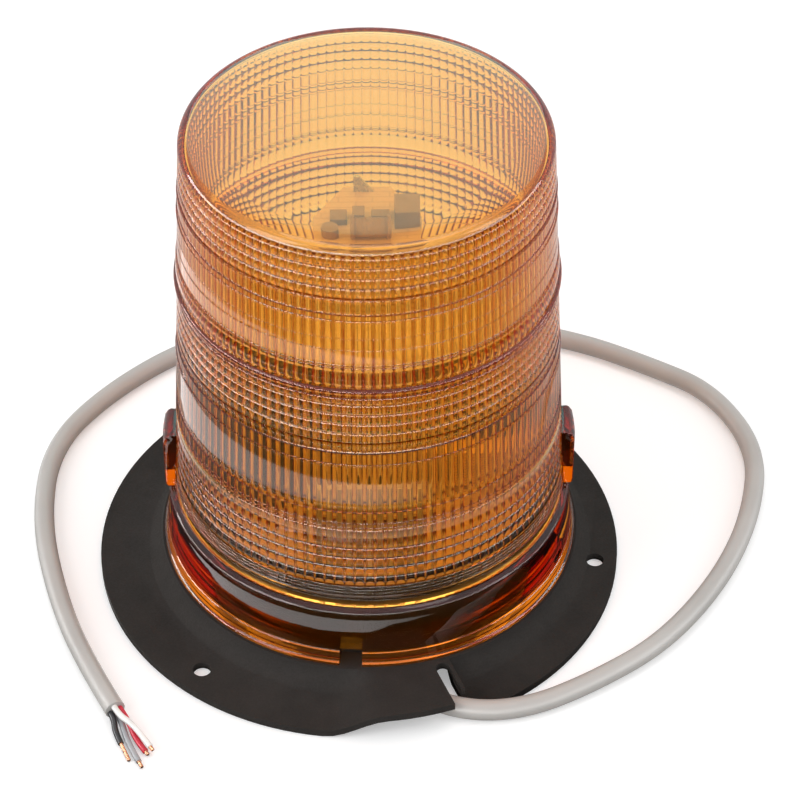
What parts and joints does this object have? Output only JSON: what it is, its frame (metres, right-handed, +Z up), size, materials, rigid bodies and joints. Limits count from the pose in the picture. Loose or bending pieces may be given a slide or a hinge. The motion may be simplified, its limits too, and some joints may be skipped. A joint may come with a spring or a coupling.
{
  "type": "strobe light",
  "caption": "Amber strobe beacon: tall fluted lens over a black base on a flexible screw-down flange, with a loose supply cable.",
  "frame": {"origin": "centre of the three screw holes, on the surface that the flange is screwed to", "axes": "+Z up along the lens, +X to the right and -Y towards the cable exit at the front"},
  "size_m": [0.2395, 0.2077, 0.1632],
  "materials": {
    "flange_rubber": "fine matte grain",
    "base_plastic": "moulded satin",
    "grommet_rubber": "matte",
    "seal_rubber": "matte",
    "plated_steel": "zinc plated",
    "cable_jacket": "satin grey jacket",
    "black_wire": "gloss",
    "grey_wire": "gloss",
    "red_wire": "gloss",
    "white_wire": "gloss",
    "copper": "bare strands",
    "board": "bare laminate",
    "capacitor_sleeve": "shrink sleeve",
    "ferrite": "sintered",
    "winding_tape": "taped winding",
    "aluminium": "extruded",
    "component_plastic": "moulded",
    "terminal_plastic": "moulded",
    "pillar_plastic": "moulded",
    "deck_white": "white reflector finish",
    "ceramic": "glazed ceramic",
    "tube_glass": "clear quartz",
    "amber_lens": "moulded amber polycarbonate with flutes and beads"
  },
  "bodies": {
    "base": {"mounting_flange": "flange_rubber", "base_housing": "base_plastic", "clamp_ring": "plated_steel", "clamp_screws": "plated_steel", "cable_grommet": "grommet_rubber", "supply_cable": "cable_jacket", "conductor_black": "black_wire", "conductor_grey": "grey_wire", "conductor_red": "red_wire", "conductor_white": "white_wire", "conductor_ends": "copper", "feed_wires": "red_wire", "main_circuit_board": "board", "board_standoffs": "plated_steel", "board_screws": "plated_steel", "storage_capacitor": "capacitor_sleeve", "transformer_core": "ferrite", "transformer_winding": "winding_tape", "heat_sink": "aluminium", "switching_transistor": "component_plastic", "filter_components": "component_plastic", "terminal_block": "terminal_plastic", "terminal_screws": "plated_steel", "tower_pillars": "pillar_plastic", "tube_deck": "deck_white", "deck_screws": "plated_steel", "tube_socket": "ceramic"},
    "lamp_head": {"tube_base": "ceramic", "tube_pins": "plated_steel", "flash_tube": "tube_glass", "tube_electrodes": "plated_steel", "head_rods": "plated_steel", "trigger_board": "board", "trigger_parts": "component_plastic", "trigger_coil": "winding_tape", "board_tab": "plated_steel"},
    "seal": {"lens_seal": "seal_rubber"},
    "lens": {"lens": "amber_lens"}
  },
  "joints": [
    {"name": "lens_lift", "type": "slide", "parent": "base", "child": "seal", "axis": [0, 0, 1], "range_m": [0, 0.15]},
    {"name": "lens_twist", "type": "hinge", "parent": "seal", "child": "lens", "pos_m": [0.0034, 0, 0.02], "axis": [0, 0, 1], "range_deg": [0, 12]},
    {"name": "head_unplug", "type": "slide", "parent": "base", "child": "lamp_head", "axis": [0, 0, 1], "range_m": [0, 0.014]}
  ]
}
